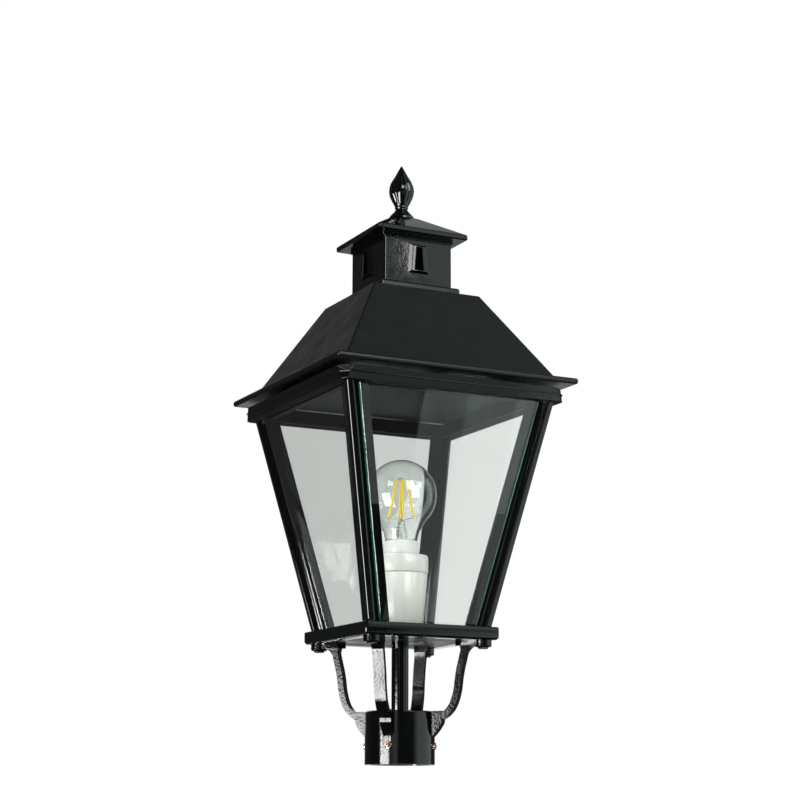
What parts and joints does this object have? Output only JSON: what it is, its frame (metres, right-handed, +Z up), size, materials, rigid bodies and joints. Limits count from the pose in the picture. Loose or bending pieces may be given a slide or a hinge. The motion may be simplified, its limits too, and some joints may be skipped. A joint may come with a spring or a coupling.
{
  "type": "post top lantern",
  "caption": "Square tapered glazed lantern with hinged roof and vented chimney, carried by curved arms on a socket that clamps over a post top.",
  "frame": {"origin": "centre of the mouth of the post socket, at its lower rim", "axes": "+Z up along the post, -Y to the front pane, +Y to the roof hinge"},
  "size_m": [0.2206, 0.2206, 0.517],
  "materials": {
    "gloss_black": "gloss black enamel over cast aluminium",
    "satin_black": "satin black powder coat over cast aluminium",
    "glass": "clear float glass with a green edge",
    "porcelain": "white glazed porcelain",
    "white_plastic": "white moulded lamp collar",
    "nickel": "nickel plated lamp cap",
    "brass": "dull brass",
    "steel": "zinc plated steel",
    "phosphor": "yellow phosphor coated filament sticks"
  },
  "bodies": {
    "lantern_body": {"bottom_frame": "gloss_black", "bottom_plate": "satin_black", "centre_contact": "brass", "conduit_tube": "gloss_black", "corner_post_back_left": "gloss_black", "corner_post_back_right": "gloss_black", "corner_post_front_left": "gloss_black", "corner_post_front_right": "gloss_black", "earth_terminal": "brass", "foot_screws": "steel", "glass_back": "glass", "glass_front": "glass", "glass_left": "glass", "glass_right": "glass", "hinge_fixed": "gloss_black", "hinge_pins": "steel", "holder_saddle": "steel", "lampholder_body": "porcelain", "lampholder_ring": "porcelain", "post_socket": "gloss_black", "screw_shell": "brass", "support_arm_back_left": "gloss_black", "support_arm_back_right": "gloss_black", "support_arm_front_left": "gloss_black", "support_arm_front_right": "gloss_black", "tube_nut": "steel", "upper_frame": "gloss_black"},
    "roof_lid": {"roof": "satin_black", "chimney": "gloss_black", "chimney_cap": "gloss_black", "finial": "gloss_black", "hinge_roof": "gloss_black"},
    "lamp": {"lamp_cap": "nickel", "lamp_collar": "white_plastic", "bulb_glass": "glass", "lamp_stem": "glass", "filaments": "phosphor"},
    "clamp_screw_front_right": {"set_screw_front_right": "brass"},
    "clamp_screw_back_right": {"set_screw_back_right": "brass"},
    "clamp_screw_back_left": {"set_screw_back_left": "brass"},
    "clamp_screw_front_left": {"set_screw_front_left": "brass"}
  },
  "joints": [
    {"name": "roof_hinge", "type": "hinge", "parent": "lantern_body", "child": "roof_lid", "pos_m": [0, 0.1067, 0.3063], "axis": [-1, 0, 0], "range_deg": [0, 100]},
    {"name": "lamp_unscrew", "type": "slide", "parent": "lantern_body", "child": "lamp", "axis": [0, 0, 1], "range_m": [0, 0.03]},
    {"name": "clamp_front_right", "type": "slide", "parent": "lantern_body", "child": "clamp_screw_front_right", "axis": [0.7071, -0.7071, 0], "range_m": [-0.0009, 0.003]},
    {"name": "clamp_back_right", "type": "slide", "parent": "lantern_body", "child": "clamp_screw_back_right", "axis": [0.7071, 0.7071, 0], "range_m": [-0.0009, 0.003]},
    {"name": "clamp_back_left", "type": "slide", "parent": "lantern_body", "child": "clamp_screw_back_left", "axis": [-0.7071, 0.7071, 0], "range_m": [-0.0009, 0.003]},
    {"name": "clamp_front_left", "type": "slide", "parent": "lantern_body", "child": "clamp_screw_front_left", "axis": [-0.7071, -0.7071, 0], "range_m": [-0.0009, 0.003]}
  ]
}
